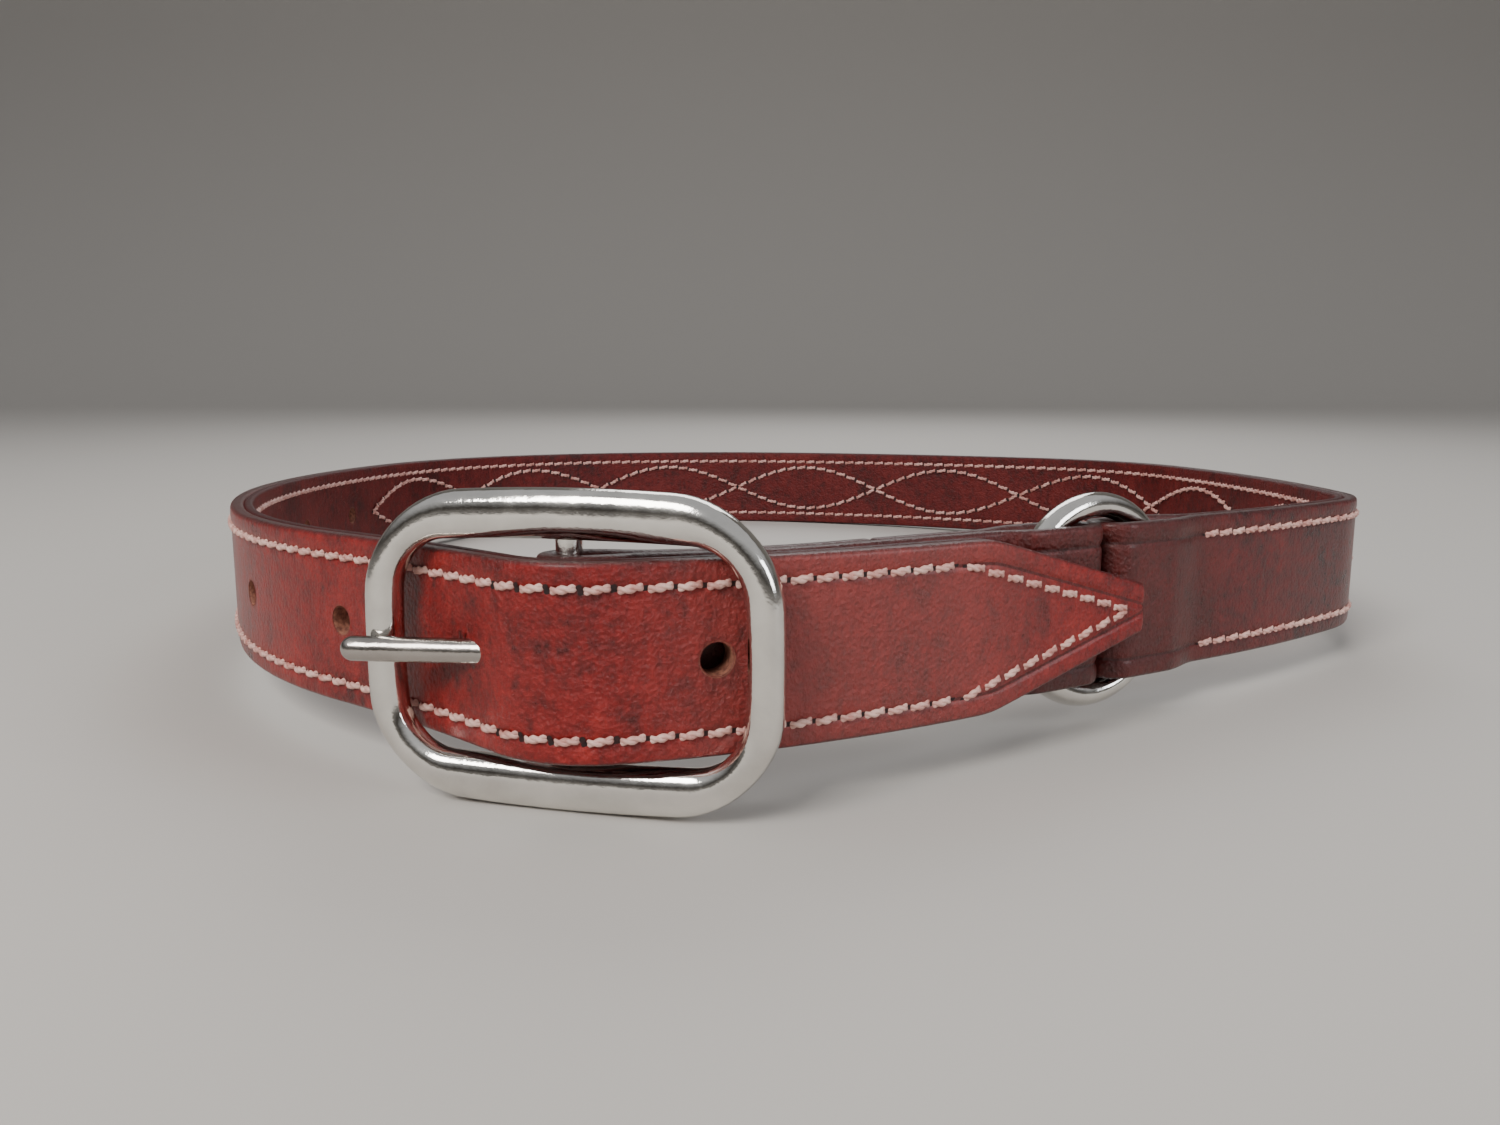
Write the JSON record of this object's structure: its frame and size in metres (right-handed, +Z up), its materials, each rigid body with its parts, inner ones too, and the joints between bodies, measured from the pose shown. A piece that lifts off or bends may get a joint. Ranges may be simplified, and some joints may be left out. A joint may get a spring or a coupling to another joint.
{
  "type": "leather ring belt",
  "caption": "Lined leather belt, buckled into its loop: a stitched strap and a short chape joined by a ring, closed by a centre-bar buckle with a prong.",
  "frame": {"origin": "centre of the bounding box, at the level that the belt stands on", "axes": "+Z up, across the strap's width; +Y away from the buckle to the back of the loop; +X to the right, seen from the buckle's side"},
  "size_m": [0.3104, 0.3528, 0.0532],
  "materials": {
    "main_strap": "oxblood red grain leather, waxed",
    "strap_lining": "dark red lining leather",
    "chape": "oxblood red grain leather, waxed",
    "hardware": "polished stainless steel",
    "thread": "waxed twisted thread, pale pink"
  },
  "bodies": {
    "strap": {"main_strap": "main_strap", "strap_lining": "strap_lining", "chape": "chape", "edge_seam_needle_thread": "thread", "edge_seam_bobbin_thread": "thread", "chape_seam_needle_thread": "thread", "chape_seam_bobbin_thread": "thread", "wave_a_needle_thread": "thread", "wave_a_bobbin_thread": "thread", "wave_b_needle_thread": "thread", "wave_b_bobbin_thread": "thread"},
    "ring": {"ring": "hardware"},
    "buckle": {"buckle_frame": "hardware", "centre_bar": "hardware"},
    "prong": {"prong": "hardware"}
  },
  "joints": [
    {"name": "ring_spin", "type": "hinge", "parent": "strap", "child": "ring", "pos_m": [0.05982, -0.11922, 0.02518], "axis": [0.5, -0.8656, 0.0269], "continuous": true},
    {"name": "buckle_tilt", "type": "hinge", "parent": "strap", "child": "buckle", "pos_m": [-0.03849, -0.16385, 0.02657], "axis": [0, 0.0311, 0.9995], "range_deg": [-1, 1]},
    {"name": "prong_lift", "type": "hinge", "parent": "buckle", "child": "prong", "pos_m": [-0.03849, -0.16385, 0.02657], "axis": [0, 0.0311, 0.9995], "range_deg": [0, 5]}
  ]
}
